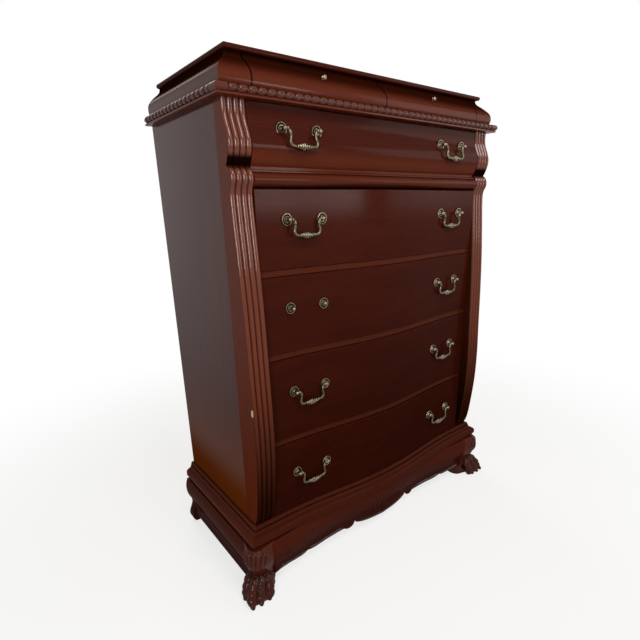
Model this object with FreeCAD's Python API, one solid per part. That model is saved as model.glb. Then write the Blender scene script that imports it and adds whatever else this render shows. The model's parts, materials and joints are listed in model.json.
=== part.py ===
import FreeCAD, Part
import math
import os
from FreeCAD import Vector

# A tall chest of drawers with a serpentine front, reeded S-curved pilasters,
# a gadrooned cornice under a shaped frieze, and paw feet.
# Millimetres. X runs to the right, Y to the back, Z up; the floor is Z = 0.
# A depth is a distance in front of the back of the case.

# Heights, from the floor up
base_height = 165.0
plinth_height = 57.0
drawer_5_opening = 215.5
drawer_4_opening = 234.5
drawer_3_opening = 202.0
drawer_2_opening = 190.0
drawer_1_opening = 142.5
rail_height = 16.0
waist_height = 40.0
cornice_height = 23.0
frieze_height = 74.0
top_thickness = 11.5

# Case
case_half_width = 488.0
back_y = 247.5
corner_depth = 437.0
upper_setback = 7.0
side_thickness = 20.0
back_thickness = 8.0
bottom_thickness = 18.0
deck_thickness = 14.0

# Serpentine front
front_proud = 1.0
bow = 28.0
bow_half_span = 385.0

# Pilasters
pilaster_width = 60.0
pilaster_thickness = 45.0
reed_count = 4
reed_relief = 5.0
neck_rise = 8.0
pilaster_tuck = 2.0

# Rails, runners and guides
rail_recess = 4.0
rail_width = 57.0
runner_width = 64.0
runner_start_depth = 12.0
guide_height = 22.0

# Drawers
drawer_gap = 1.5
seat_clearance = 0.3
front_thickness = 24.0
box_wall = 12.0
box_bottom = 7.0
box_bottom_rise = 6.0
box_back_depth = 26.0
box_headroom = 12.0

# Mouldings
plinth_projection = 30.0
cornice_projection = 23.0
cornice_fillet = 5.5
gadroon_pitch = 24.5
gadroon_groove = 3.0
gadroon_slant = 16.0
waist_swell = 13.0
waist_fillet = 5.0

# Frieze and top
frieze_neck = 33.0
frieze_swell = 5.5
frieze_wall = 50.0
frieze_corner_width = 73.0
frieze_box_wall = 9.0
frieze_back_thickness = 10.0
divider_thickness = 9.0
top_side_inset = 25.5
top_front_inset = 21.0
nose_radius = 5.0

# Base
apron_thickness = 20.0
apron_drop = 129.0
apron_proud = -3.5
apron_swell = 8.0
apron_flare = 32.0
apron_flare_length = 285.0
apron_tongue_half_length = 285.0
apron_tongue_setback = 1.5
apron_drop_half_width = 118.0
apron_lobe_width = 50.0
apron_bracket_length = 126.0
scallop_notch = 14.0
leg_inset = 15.0
leg_face = 47.0
knee_reach = 72.0
ankle_reach = 51.0
ankle_height = 66.0
toe_radius = 13.0
toe_reaches = [57.0, 86.0, 70.0, 49.0]
toe_offsets = [31.0, 8.0, -14.0, -35.0]
rear_foot_thickness = 30.0
rear_foot_width = 90.0
rear_foot_flare = 4.6

# Pulls
pull_spacing = 102.5
pull_centre = 291.5
pull_rises = {1: 19.25, 2: 24.8, 3: 17.8, 4: 19.8, 5: 8.5}
pull_stand_off = 17.0
rosette_radius = 15.0
rosette_thickness = 4.2
rosette_sink = 5.0
post_radius = 5.2
pin_radius = 2.2
pin_clearance = 0.06
pin_length = 6.0
pin_end_gap = 0.5
bail_radius = 3.4
bail_drop = 38.0
bail_shoulder = 8.0
bail_waist = 9.5
bail_flare = 5.0
bail_leaf_length = 42.0
bail_leaf_radius = 6.8
bail_lean = 8.0
knob_radius = 6.5
knob_neck_radius = 3.0
knob_length = 15.0
knob_rise = 48.0

# Levels, widths and depths that follow
z_plinth = base_height
z_case = z_plinth + plinth_height
z_rail_45 = z_case + drawer_5_opening
z_drawer_4 = z_rail_45 + rail_height
z_rail_34 = z_drawer_4 + drawer_4_opening
z_drawer_3 = z_rail_34 + rail_height
z_rail_23 = z_drawer_3 + drawer_3_opening
z_drawer_2 = z_rail_23 + rail_height
z_waist = z_drawer_2 + drawer_2_opening
z_drawer_1 = z_waist + waist_height
z_cornice = z_drawer_1 + drawer_1_opening
z_deck_top = z_cornice + cornice_height
z_deck = z_deck_top - deck_thickness
z_top = z_deck_top + frieze_height
z_neck = z_drawer_1 + neck_rise
opening_half_width = case_half_width - pilaster_width
inner_half_width = case_half_width - side_thickness
frieze_drawer_half_width = case_half_width - frieze_corner_width
upper_depth = corner_depth - upper_setback
flank_depth = corner_depth + front_proud
pilaster_back_depth = corner_depth - pilaster_thickness
leg_axis_x = case_half_width - leg_inset
leg_axis_depth = corner_depth - leg_inset
apron_half_length = leg_axis_x - leg_face / 2.0
flare_end = leg_axis_x - 0.8 * leg_face
flare_start = flare_end - apron_flare_length
apron_low = base_height - apron_drop
rail_back_depth = corner_depth - rail_width

# Each drawer's opening; its pull posts sit above the middle of it by their rise
drawer_openings = {
    1: (z_drawer_1, z_cornice),
    2: (z_drawer_2, z_waist),
    3: (z_drawer_3, z_rail_23),
    4: (z_drawer_4, z_rail_34),
    5: (z_case, z_rail_45),
}
missing_bail = (3, "left")

# Lower pilaster: share of the height from case to waist, and swell of the reeds
lower_swell = [
    (0.0, -0.5), (0.036, 13.0), (0.08, 20.0), (0.14, 26.0), (0.22, 32.0), (0.3, 34.0),
    (0.37, 33.0), (0.46, 29.5), (0.56, 26.0), (0.66, 22.0), (0.81, 13.0), (0.92, 4.0),
    (0.975, 0.5),
]
# Its roll over the waist moulding: share of the waist's height, and swell
waist_roll = [(0.05, 4.0), (0.3, 9.5), (0.55, 11.0), (0.85, 8.5), (1.08, 1.0)]
# Cyma of the upper pilaster and the first drawer: share of the height, and swell
cyma = [
    (0.0, 2.0), (0.08, 9.0), (0.2, 15.0), (0.34, 18.0), (0.5, 13.0), (0.66, 4.0),
    (0.78, -0.5), (0.9, -1.5), (1.0, -1.0),
]


def at(depth):
    """Y of the plane that lies this far in front of the back."""
    return back_y - depth


def bow_at(x):
    """How far the serpentine front swells forward at this X."""
    if abs(x) >= bow_half_span:
        return 0.0
    return bow * (1.0 + math.cos(math.pi * x / bow_half_span)) / 2.0


def board(x0, x1, depth0, depth1, z0, z1):
    return Part.makeBox(x1 - x0, depth1 - depth0, z1 - z0, Vector(x0, at(depth1), z0))


def mirrored(shape):
    return shape.mirror(Vector(0, 0, 0), Vector(1, 0, 0))


def spline(points):
    curve = Part.BSplineCurve()
    curve.interpolate(points)
    return curve.toShape()


def line(start, end):
    return Part.makeLine(start, end)


def profile_edges(place, start, steps):
    """Closed loop of edges; a step of one point is a line, of two an arc, of more a curve."""
    first = place(*start)
    here = first
    edges = []
    for step in steps:
        points = [here] + [place(*point) for point in step]
        if len(points) == 2:
            edges.append(line(*points))
        elif len(points) == 3:
            edges.append(Part.Arc(*points).toShape())
        else:
            edges.append(spline(points))
        here = points[-1]
    edges.append(line(here, first))
    return edges


def extruded(edges, direction):
    return Part.Face(Part.Wire(edges)).extrude(direction)


def rounded_path(points, radii):
    """Wire of straight runs through the points, with each corner rounded."""
    edges = []
    here = points[0]
    for before, corner, after, radius in zip(points, points[1:], points[2:], radii):
        back = (before - corner).normalize()
        ahead = (after - corner).normalize()
        half_angle = back.getAngle(ahead) / 2.0
        start = corner + back * (radius / math.tan(half_angle))
        end = corner + ahead * (radius / math.tan(half_angle))
        middle = corner + (back + ahead).normalize() * (radius / math.sin(half_angle) - radius)
        edges += [line(here, start), Part.Arc(start, middle, end).toShape()]
        here = end
    edges.append(line(here, points[-1]))
    return Part.Wire(edges)


def plan_prism(points, z0, z1):
    """Upright prism over (X, depth) points."""
    corners = [Vector(x, at(depth), z0) for x, depth in points]
    return extruded(Part.makePolygon(corners + corners[:1]).Edges, Vector(0, 0, z1 - z0))


def save(name, *solids):
    shape = solids[0] if len(solids) == 1 else Part.makeCompound(list(solids))
    shape.exportStep(os.path.join("parts", name + ".step"))


def save_pair(name, *right_solids):
    save(name + "_right", *right_solids)
    save(name + "_left", *[mirrored(solid) for solid in right_solids])


def serpentine_slab(half_width, front_depth, back_depth, z0, z1):
    """Slab with a serpentine front and a flat back."""
    spans = 20
    xs = [half_width * (2.0 * i / spans - 1.0) for i in range(spans + 1)]
    front = [Vector(x, at(front_depth + bow_at(x)), z0) for x in xs]
    back_left = Vector(-half_width, at(back_depth), z0)
    back_right = Vector(half_width, at(back_depth), z0)
    edges = [spline(front), line(front[-1], back_right)]
    edges += [line(back_right, back_left), line(back_left, front[0])]
    return extruded(edges, Vector(0, 0, z1 - z0))


def cyma_stations(z0, z1, depth):
    return [(z0 + share * (z1 - z0), depth + swell) for share, swell in cyma]


def reeded_length(stations):
    """Right pilaster length through (height, depth of the reed crests)."""
    pitch = pilaster_width / reed_count
    sections = []
    for z, depth in stations:
        valley = at(depth - reed_relief)
        back_inner = Vector(opening_half_width, at(pilaster_back_depth), z)
        back_outer = Vector(case_half_width, at(pilaster_back_depth), z)
        corners = [Vector(opening_half_width + i * pitch, valley, z) for i in range(reed_count + 1)]
        edges = [line(back_inner, corners[0])]
        for start, end in zip(corners, corners[1:]):
            summit = Vector((start.x + end.x) / 2.0, at(depth + reed_relief), z)
            reed = Part.BezierCurve()
            reed.setPoles([start, summit, end])
            edges.append(reed.toShape())
        edges += [line(corners[-1], back_outer), line(back_outer, back_inner)]
        sections.append(Part.Wire(edges))
    return Part.makeLoft(sections, True, False)


def pilasters():
    lower = [(z_plinth, corner_depth - pilaster_tuck)]
    lower += [(z_case + share * (z_waist - z_case), corner_depth + swell) for share, swell in lower_swell]
    lower += [(z_waist + share * waist_height, corner_depth + swell) for share, swell in waist_roll]
    lower.append((z_neck, upper_depth + cyma[0][1]))
    upper = cyma_stations(z_neck, z_cornice, upper_depth)
    upper.append((z_deck, upper[-1][1]))
    save_pair("pilaster", reeded_length(lower), reeded_length(upper))


def case_boards():
    save_pair("side", board(inner_half_width, case_half_width, 0, pilaster_back_depth, z_plinth, z_deck))
    save("back_panel", board(-inner_half_width, inner_half_width, 0, back_thickness, z_plinth, z_deck))
    z_bottom = z_case - bottom_thickness
    rear = board(-inner_half_width, inner_half_width, back_thickness, pilaster_back_depth, z_bottom, z_case)
    front = serpentine_slab(opening_half_width, corner_depth - seat_clearance, pilaster_back_depth,
                            z_bottom, z_case)
    save("bottom_board", rear.fuse(front).removeSplitter())
    save("frieze_deck", board(-case_half_width, case_half_width, 0, upper_depth, z_deck, z_deck_top))


def rails():
    made = []
    for z in (z_rail_45, z_rail_34, z_rail_23):
        made.append(serpentine_slab(opening_half_width, flank_depth - rail_recess,
                                    rail_back_depth, z, z + rail_height))
    made.append(board(-opening_half_width, opening_half_width, rail_back_depth, upper_depth,
                      z_cornice, z_deck))
    save("drawer_rails", *made)


def waist_moulding():
    """Straight torus between two fillets, let in between the pilasters."""
    face = flank_depth - rail_recess
    roll_middle = (face + waist_swell, (z_waist + z_drawer_1) / 2.0)
    roll_top = (face, z_drawer_1 - waist_fillet)
    steps = [[(face, z_waist + waist_fillet)], [roll_middle, roll_top], [(face, z_drawer_1)],
             [(rail_back_depth, z_drawer_1)], [(rail_back_depth, z_waist)]]
    edges = profile_edges(lambda depth, z: Vector(-opening_half_width, at(depth), z), (face, z_waist), steps)
    save("waist_moulding", extruded(edges, Vector(2.0 * opening_half_width, 0, 0)))


def runners_and_guides():
    """Runners under drawers 1 to 4, and guides beside all five, on both sides of the case."""
    made = []
    for number, (z_open, z_close) in drawer_openings.items():
        guide = board(opening_half_width, inner_half_width, runner_start_depth, pilaster_back_depth,
                      z_open, z_open + guide_height)
        made += [guide, mirrored(guide)]
        if number < len(drawer_openings):
            runner = board(inner_half_width - runner_width, inner_half_width, runner_start_depth,
                           rail_back_depth, z_open - rail_height, z_open)
            made += [runner, mirrored(runner)]
    save("drawer_runners", *made)


def groove_ring(centre, along, outward, radius):
    """V-shaped ring, leaning a little, that cuts one groove round a half-round."""
    lean = FreeCAD.Rotation(outward, gadroon_slant)
    axis = lean.multVec(along)
    rim = outward * (radius + gadroon_groove)
    mouth = axis * (2.0 * gadroon_groove)
    floor = outward * (radius - gadroon_groove)
    points = [centre + rim - mouth, centre + rim + mouth, centre + floor]
    return Part.Face(Part.makePolygon(points + points[:1])).revolve(centre, axis, 360)


def gadrooned(moulding, start, along, outward, length, radius):
    """Cut evenly spaced grooves into a half-round that runs from start."""
    count = int(length / gadroon_pitch)
    rings = []
    for i in range(1, count):
        rings.append(groove_ring(start + along * (length * i / count), along, outward, radius))
    return moulding.cut(rings)


def cornice():
    """Fillet with a gadrooned half-round on it, mitred round the front and sides."""
    z_roll = (z_cornice + cornice_fillet + z_deck_top) / 2.0
    radius = (z_deck_top - z_cornice - cornice_fillet) / 2.0
    inset = cornice_projection - radius
    steps = [[(inset, z_cornice)], [(inset, z_cornice + cornice_fillet)],
             [(cornice_projection, z_roll), (inset, z_deck_top)], [(0.0, z_deck_top)]]
    reach = cornice_projection
    half = case_half_width
    depth = upper_depth
    front_edges = profile_edges(lambda p, z: Vector(-half - reach, at(depth + p), z), (0.0, z_cornice), steps)
    front = extruded(front_edges, Vector(2.0 * (half + reach), 0, 0))
    trapezium = [(-half, depth), (half, depth), (half + reach, depth + reach), (-half - reach, depth + reach)]
    front = front.common(plan_prism(trapezium, z_cornice, z_deck_top))
    start = Vector(-half - inset, at(depth + inset), z_roll)
    front = gadrooned(front, start, Vector(1, 0, 0), Vector(0, -1, 0), 2.0 * (half + inset), radius)
    save("cornice_front", front)
    side_edges = profile_edges(lambda p, z: Vector(half + p, back_y, z), (0.0, z_cornice), steps)
    side = extruded(side_edges, Vector(0, -depth - reach, 0))
    trapezium = [(half, 0), (half + reach, 0), (half + reach, depth + reach), (half, depth)]
    side = side.common(plan_prism(trapezium, z_cornice, z_deck_top))
    start = Vector(half + inset, back_y, z_roll)
    side = gadrooned(side, start, Vector(0, -1, 0), Vector(1, 0, 0), depth + inset, radius)
    save_pair("cornice", side)


def frieze_steps():
    """Ogee section of the frieze, swelling past the case below: (inset from the case face, height)."""
    neck = frieze_neck
    swell = frieze_swell
    low = z_deck_top
    span = frieze_height
    belly = [(-0.8 * swell, low + 0.1 * span), (-swell, low + 0.22 * span),
             (-0.75 * swell, low + 0.37 * span)]
    hollow = [(0.02 * neck, low + 0.49 * span), (0.25 * neck, low + 0.6 * span),
              (0.55 * neck, low + 0.72 * span), (0.85 * neck, low + 0.83 * span), (neck, low + 0.95 * span)]
    return [belly + hollow, [(neck, z_top)], [(frieze_wall, z_top)], [(frieze_wall, low)]]


def frieze_length(x0, x1, z_gap):
    """Front length of the frieze between two X values, shortened below and above by a gap."""
    edges = profile_edges(lambda p, z: Vector(x0, at(upper_depth - p), z), (0.0, z_deck_top), frieze_steps())
    blank = extruded(edges, Vector(x1 - x0, 0, 0))
    if z_gap == 0.0:
        return blank
    return blank.common(board(x0, x1, 0, upper_depth + 2.0 * frieze_swell, z_deck_top + z_gap, z_top - z_gap))


def frieze():
    half = case_half_width
    wall = frieze_wall
    reach = 2.0 * frieze_swell
    corner = frieze_length(frieze_drawer_half_width, half + reach, 0.0)
    front_plan = [(frieze_drawer_half_width, upper_depth + reach), (half + reach, upper_depth + reach),
                  (half - wall, upper_depth - wall), (frieze_drawer_half_width, upper_depth - wall)]
    corner = corner.common(plan_prism(front_plan, z_deck_top, z_top))
    save("frieze_corners", corner, mirrored(corner))
    edges = profile_edges(lambda p, z: Vector(half - p, back_y, z), (0.0, z_deck_top), frieze_steps())
    side = extruded(edges, Vector(0, -upper_depth - reach, 0))
    side_plan = [(half + reach, 0), (half + reach, upper_depth + reach), (half - wall, upper_depth - wall),
                 (half - wall, 0)]
    save_pair("frieze_side", side.common(plan_prism(side_plan, z_deck_top, z_top)))
    save("frieze_back", board(wall - half, half - wall, 0, frieze_back_thickness, z_deck_top, z_top))
    save("frieze_divider", board(-divider_thickness / 2.0, divider_thickness / 2.0, frieze_back_thickness,
                                 upper_depth - wall - seat_clearance, z_deck_top, z_top))


def top_board():
    half = case_half_width - top_side_inset
    slab = board(-half, half, 0, upper_depth - top_front_inset, z_top, z_top + top_thickness)
    nosed = [edge for edge in slab.Edges
             if edge.Vertexes[0].Z == edge.Vertexes[1].Z and edge.CenterOfMass.y < back_y - 1.0]
    save("top_board", slab.makeFillet(nose_radius, nosed))


def plinth_section(place):
    """Moulded section of the plinth: fascia, quarter round, band, ogee and bead."""
    steps = [[(0.74, 0.0)], [(0.78, 0.13)], [(0.94, 0.16), (1.0, 0.24)], [(1.0, 0.42)],
             [(0.9, 0.54), (0.65, 0.62)], [(0.46, 0.69), (0.4, 0.8)], [(0.33, 0.82)],
             [(0.3, 0.94), (0.2, 1.0)], [(0.0, 1.0)]]
    scaled = lambda p, h: place(p * plinth_projection, z_plinth + h * plinth_height)
    return Part.Wire(profile_edges(scaled, (0.0, 0.0), steps))


def plinth():
    """Front length that follows the serpentine, mitred to two straight sides."""
    half = case_half_width
    stations = 24
    sections = []
    for i in range(stations + 1):
        share = 2.0 * i / stations - 1.0

        def on_front(p, z):
            x = share * (half + p)
            return Vector(x, at(corner_depth + p + bow_at(x)), z)

        sections.append(plinth_section(on_front))
    save("plinth_front", Part.makeLoft(sections, True, False))
    rear_end = plinth_section(lambda p, z: Vector(half + p, back_y, z))
    mitred_end = plinth_section(lambda p, z: Vector(half + p, at(corner_depth + p), z))
    save_pair("plinth", Part.makeLoft([rear_end, mitred_end], True, True))


def apron_plan(x):
    """Serpentine of the apron, which also flares towards the feet."""
    share = (abs(x) - flare_start) / (flare_end - flare_start)
    share = min(1.0, max(0.0, share))
    return bow_at(x) + apron_flare * share * share * (3.0 - 2.0 * share)


def apron_section(place):
    """Cyma of the aprons, full under the plinth and drawn in below: (distance from its line, height)."""
    swell = apron_swell
    h = base_height
    curve = [(0.75 * swell, 0.9 * h), (swell, 0.78 * h), (0.15 * swell, 0.57 * h), (-0.8 * swell, 0.42 * h),
             (-0.5 * swell, 0.25 * h), (-0.3 * swell, 0.0)]
    back = -apron_thickness
    return Part.Wire(profile_edges(place, (back, h), [[(0.0, h)], curve, [(back, 0.0)]]))


def apron_half_outline():
    """Scalloped lower edge, from the middle to one foot: steps of (X, height)."""
    x_end = apron_half_length
    low = apron_low
    notch = scallop_notch
    drop_end = apron_drop_half_width
    lobe_start = drop_end + 0.4 * notch
    lobe_end = drop_end + apron_lobe_width
    bracket_start = x_end - apron_bracket_length
    arch_span = bracket_start - lobe_end
    drop = [(0.36 * drop_end, low + 0.2 * notch), (0.84 * drop_end, low + 0.7 * notch),
            (drop_end, low + 1.1 * notch)]
    lobe = [(lobe_start + 0.3 * apron_lobe_width, low + 0.55 * notch),
            (lobe_start + 0.5 * apron_lobe_width, low + 0.4 * notch), (lobe_end, low + 0.8 * notch)]
    arch = [(lobe_end + 0.25 * arch_span, low + 0.75 * notch),
            (lobe_end + 0.55 * arch_span, low + 0.75 * notch), (lobe_end + 0.9 * arch_span, low + 0.9 * notch),
            (bracket_start, low + 1.2 * notch)]
    bracket = [(bracket_start + 0.9 * notch, low + 0.95 * notch),
               (bracket_start + 2.5 * notch, low + 0.95 * notch),
               (x_end - 2.5 * notch, low + 1.2 * notch), (x_end, low + 0.8 * notch)]
    return [drop, [(lobe_start, low + 1.6 * notch)], lobe, [(lobe_end + 0.4 * notch, low + 0.85 * notch)],
            arch, bracket]


def front_apron(foot):
    """Scalloped apron between the legs, with a tongue behind the plinth up to the bottom board."""
    x_end = apron_half_length
    stations = 24
    sections = []
    for i in range(stations + 1):
        x = x_end * (2.0 * i / stations - 1.0)
        depth = corner_depth + apron_proud + apron_plan(x)
        sections.append(apron_section(lambda p, z: Vector(x, at(depth + p), z)))
    slab = Part.makeLoft(sections, True, False)
    edges = profile_edges(lambda x, z: Vector(x, back_y, z), (0.0, apron_low),
                          apron_half_outline() + [[(x_end, z_plinth)], [(0.0, z_plinth)]])
    reach = corner_depth + apron_proud + apron_swell + apron_flare + bow
    half = extruded(edges, Vector(0, -reach, 0))
    scalloped = slab.common(half.fuse(mirrored(half)))
    z_bottom = z_case - bottom_thickness
    tongue_face = corner_depth - apron_tongue_setback
    tongue_back = corner_depth - apron_thickness + apron_proud + apron_tongue_setback
    tongue = serpentine_slab(apron_tongue_half_length, tongue_face, rail_back_depth, z_plinth, z_bottom)
    tongue = tongue.cut(serpentine_slab(apron_tongue_half_length, tongue_back, 0.0, z_plinth, z_bottom))
    save("apron_front", scalloped.cut([foot, mirrored(foot)]).fuse(tongue))


def side_aprons(foot):
    """Straight lengths under the side plinths, of the same section, between the legs and the rear feet."""
    outer = case_half_width + plinth_projection
    section = apron_section(lambda p, z: Vector(outer + p, at(rear_foot_thickness), z))
    side = Part.Face(section).extrude(Vector(0, rear_foot_thickness - leg_axis_depth, 0))
    lower = board(0, outer + 2.0 * apron_swell, 0, leg_axis_depth, 0, apron_low)
    save_pair("apron", side.cut([lower, foot]))


def leg_point(forward, lateral, z):
    """Point by its distance from the right leg's axis, along and across the outward diagonal."""
    return Vector((forward + lateral) * math.sqrt(0.5), (lateral - forward) * math.sqrt(0.5), z)


def leg_section(z, reach, face):
    """Closed round of the leg, drawn out to a ridge on the outward diagonal."""
    side = [(24, 0.35 * reach + 0.7 * face), (47, face), (85, 1.03 * face), (130, face)]
    turns = [(0, reach)] + side + [(180, 1.05 * face)] + [(-turn, radius) for turn, radius in reversed(side)]
    points = []
    for turn, radius in turns:
        angle = math.radians(turn)
        points.append(leg_point(radius * math.cos(angle), radius * math.sin(angle), z))
    curve = Part.BSplineCurve()
    curve.interpolate(points, True)
    return Part.Wire([curve.toShape()])


def toe(reach, offset):
    """Knuckled toe that arches from the ankle down to the floor."""
    root = leg_point(0.54 * reach, 0.65 * offset, 0.85 * ankle_height)
    knuckle = leg_point(0.86 * reach, 0.9 * offset, 0.64 * ankle_height)
    tip = leg_point(reach, offset, toe_radius)
    path = Part.Wire([Part.Arc(root, knuckle, tip).toShape()])
    heading = path.Edges[0].tangentAt(path.Edges[0].FirstParameter)
    circle = Part.Wire([Part.makeCircle(toe_radius, root, heading)])
    shaft = path.makePipe(Part.Face(circle))
    return shaft.fuse(Part.makeSphere(toe_radius, tip))


def front_foot():
    """Right leg with a knee under the plinth's corner, a waisted ankle and a paw of four toes."""
    knee_height = z_plinth - ankle_height
    levels = [(z_plinth, 0.84 * knee_reach, leg_face),
              (z_plinth - 0.24 * knee_height, 0.96 * knee_reach, 1.08 * leg_face),
              (z_plinth - 0.42 * knee_height, knee_reach, 1.12 * leg_face),
              (z_plinth - 0.72 * knee_height, 0.87 * knee_reach, leg_face),
              (ankle_height, ankle_reach, 0.84 * leg_face),
              (0.7 * ankle_height, 1.1 * ankle_reach, 0.83 * leg_face),
              (0.4 * ankle_height, 1.2 * ankle_reach, 0.83 * leg_face),
              (0.0, 1.15 * ankle_reach, 0.8 * leg_face)]
    leg = Part.makeLoft([leg_section(z, reach, face) for z, reach, face in levels], True, False)
    toes = [toe(reach, offset) for reach, offset in zip(toe_reaches, toe_offsets)]
    paw = leg.fuse(toes).removeSplitter()
    return paw.translated(Vector(leg_axis_x, at(leg_axis_depth), 0))


def rear_feet():
    """Bracket foot across the back, with an outer edge that carries on the cyma of the apron."""
    outer = case_half_width + plinth_projection
    inner = outer - rear_foot_width
    swell = apron_swell
    h = base_height
    cyma_edge = [(outer + 0.75 * swell, 0.9 * h), (outer + swell, 0.78 * h),
                 (outer + 0.15 * swell, 0.57 * h), (outer - 0.9 * swell, 0.43 * h),
                 (outer + rear_foot_flare, 0.2 * h), (outer - 0.6 * swell, 0.0)]
    steps = [[(outer, h)], cyma_edge, [(outer - 0.6 * rear_foot_width, 0.0)],
             [(outer - 0.68 * rear_foot_width, 0.26 * h), (inner, 0.4 * h)]]
    edges = profile_edges(lambda x, z: Vector(x, back_y, z), (inner, h), steps)
    save_pair("foot_rear", extruded(edges, Vector(0, -rear_foot_thickness, 0)))


def drawer_box(x0, x1, front_depth, back_depth, z0, z1, wall):
    """Open box behind a front: two sides, a back and a bottom let in between them."""
    left = board(x0, x0 + wall, back_depth, front_depth, z0, z1)
    right = board(x1 - wall, x1, back_depth, front_depth, z0, z1)
    back = board(x0 + wall, x1 - wall, back_depth, back_depth + wall, z0, z1)
    floor_low = z0 + box_bottom_rise
    floor = board(x0 + wall, x1 - wall, back_depth + wall, front_depth, floor_low, floor_low + box_bottom)
    return [left, right, back, floor]


def cyma_front(half_width, z0, z1):
    """Straight front of the first drawer, S-shaped in section like the pilasters beside it."""
    stations = cyma_stations(z_neck, z_cornice, upper_depth - reed_relief)
    inner = upper_depth - front_thickness
    curve = [(depth, z) for z, depth in stations]
    foot = (stations[0][1], z_drawer_1)
    place = lambda depth, z: Vector(-half_width, at(depth), z)
    blank = extruded(profile_edges(place, foot, [[curve[0]], curve[1:], [(inner, z_cornice)],
                                                 [(inner, z_drawer_1)]]), Vector(2.0 * half_width, 0, 0))
    return blank.common(board(-half_width, half_width, 0, flank_depth + bow, z0, z1))


def face_depth(number, x, z):
    """Depth of a main drawer's face at this place."""
    if number > 1:
        return flank_depth + bow_at(x)
    stations = cyma_stations(z_neck, z_cornice, upper_depth - reed_relief)
    for (low, near), (high, far) in zip(stations, stations[1:]):
        if low <= z <= high:
            return near + (far - near) * (z - low) / (high - low)
    return stations[0][1]


def rosette_and_post(x, axis_depth, seat_depth, z, inward, front):
    """Ringed plate and post, seated on the front, with a blind hole for the bail's pin."""
    r = rosette_radius
    plate = seat_depth + rosette_thickness
    end = axis_depth + 1.4 * post_radius
    rings = [(0.0, seat_depth - rosette_sink), (r, seat_depth - rosette_sink),
             (r, plate - 0.6 * rosette_thickness), (0.84 * r, plate - 0.3 * rosette_thickness),
             (0.64 * r, plate - 0.3 * rosette_thickness), (0.52 * r, plate), (post_radius, plate),
             (post_radius, axis_depth + 0.8 * post_radius), (0.6 * post_radius, end), (0.0, end)]
    points = [Vector(x + radius, at(depth), z) for radius, depth in rings]
    face = Part.Face(Part.makePolygon(points + points[:1]))
    turned = face.revolve(Vector(x, at(axis_depth), z), Vector(0, 1, 0), 360)
    hole = Part.makeCylinder(pin_radius + pin_clearance, post_radius + pin_length,
                             Vector(x + inward * (post_radius - pin_length), at(axis_depth), z),
                             Vector(inward, 0, 0))
    seat = front.translated(Vector(0, -seat_clearance, 0))
    return turned.cut([seat, hole])


def bail(x, axis_depth, z, lean):
    """Swan-neck bail with a leaf at its middle and a pin at each end."""
    half = pull_spacing / 2.0 - post_radius
    drop = bail_drop
    side = [(half - pin_end_gap, 0.0), (half - bail_shoulder, 0.0), (half - bail_waist, -0.45 * drop),
            (half - bail_flare, -0.94 * drop)]
    run = side + [(0.0, -1.04 * drop)] + [(-px, pz) for px, pz in reversed(side)]
    bends = [0.12 * drop, 0.6 * drop, 0.33 * drop, 3.0 * drop, 0.33 * drop, 0.6 * drop, 0.12 * drop]
    path = rounded_path([Vector(x + px, at(axis_depth), z + pz) for px, pz in run], bends)
    ring = Part.makeCircle(bail_radius, path.Edges[0].Vertexes[0].Point, Vector(1, 0, 0))
    solid = path.makePipe(Part.Face(Part.Wire([ring])))
    root = half - 2.0 * pin_end_gap
    for way in (-1, 1):
        start = Vector(x + way * root, at(axis_depth), z)
        pin = Part.makeCylinder(pin_radius, pin_length + pin_end_gap, start, Vector(way, 0, 0))
        solid = solid.fuse(pin)
    leaf_half = bail_leaf_length / 2.0
    tips = [Vector(x - leaf_half, at(axis_depth), z - drop), Vector(x + leaf_half, at(axis_depth), z - drop)]
    crown = Vector(x, at(axis_depth), z - drop + bail_leaf_radius)
    section = Part.Face(Part.Wire([Part.Arc(tips[0], crown, tips[1]).toShape(), line(tips[1], tips[0])]))
    solid = solid.fuse(section.revolve(tips[0], Vector(1, 0, 0), 360))
    solid.rotate(Vector(x, at(axis_depth), z), Vector(-1, 0, 0), lean)
    return solid


def main_drawers():
    for number, (z_open, z_close) in drawer_openings.items():
        half = opening_half_width - drawer_gap
        z0 = z_open + drawer_gap
        z1 = z_close - drawer_gap
        if number == 1:
            inner = upper_depth - front_thickness
            front = cyma_front(half, z0, z1)
            lean = bail_lean
        else:
            inner = flank_depth - front_thickness
            front = serpentine_slab(half, flank_depth, inner, z0, z1)
            lean = 0.0
        name = "drawer_%d" % number
        save(name + "_front", front)
        save(name + "_box", *drawer_box(-half, half, inner, box_back_depth, z_open + seat_clearance,
                                        z_close - box_headroom, box_wall))
        z_pull = (z_open + z_close) / 2.0 + pull_rises[number]
        axis_depth = face_depth(number, case_half_width, z_pull) + pull_stand_off
        posts = []
        for side, sign in (("left", -1), ("right", 1)):
            centre = sign * pull_centre
            for way in (-1, 1):
                x = centre + way * pull_spacing / 2.0
                seat_depth = face_depth(number, x, z_pull)
                posts.append(rosette_and_post(x, axis_depth, seat_depth, z_pull, -way, front))
            if (number, side) != missing_bail:
                save("bail_%d_%s" % (number, side), bail(centre, axis_depth, z_pull, lean))
        save(name + "_pull_posts", *posts)


def knob(x, z, front):
    """Small turned knob on a frieze drawer, seated on the ogee."""
    root = upper_depth - frieze_wall
    tip = upper_depth - 0.4 * frieze_neck + knob_length
    rings = [(0.0, root), (knob_neck_radius, root), (knob_neck_radius, tip - knob_radius),
             (knob_radius, tip - 0.7 * knob_radius), (0.8 * knob_radius, tip - 0.2 * knob_radius), (0.0, tip)]
    points = [Vector(x + radius, at(depth), z) for radius, depth in rings]
    turned = Part.Face(Part.makePolygon(points + points[:1])).revolve(Vector(x, 0, z), Vector(0, 1, 0), 360)
    return turned.cut(front)


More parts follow.
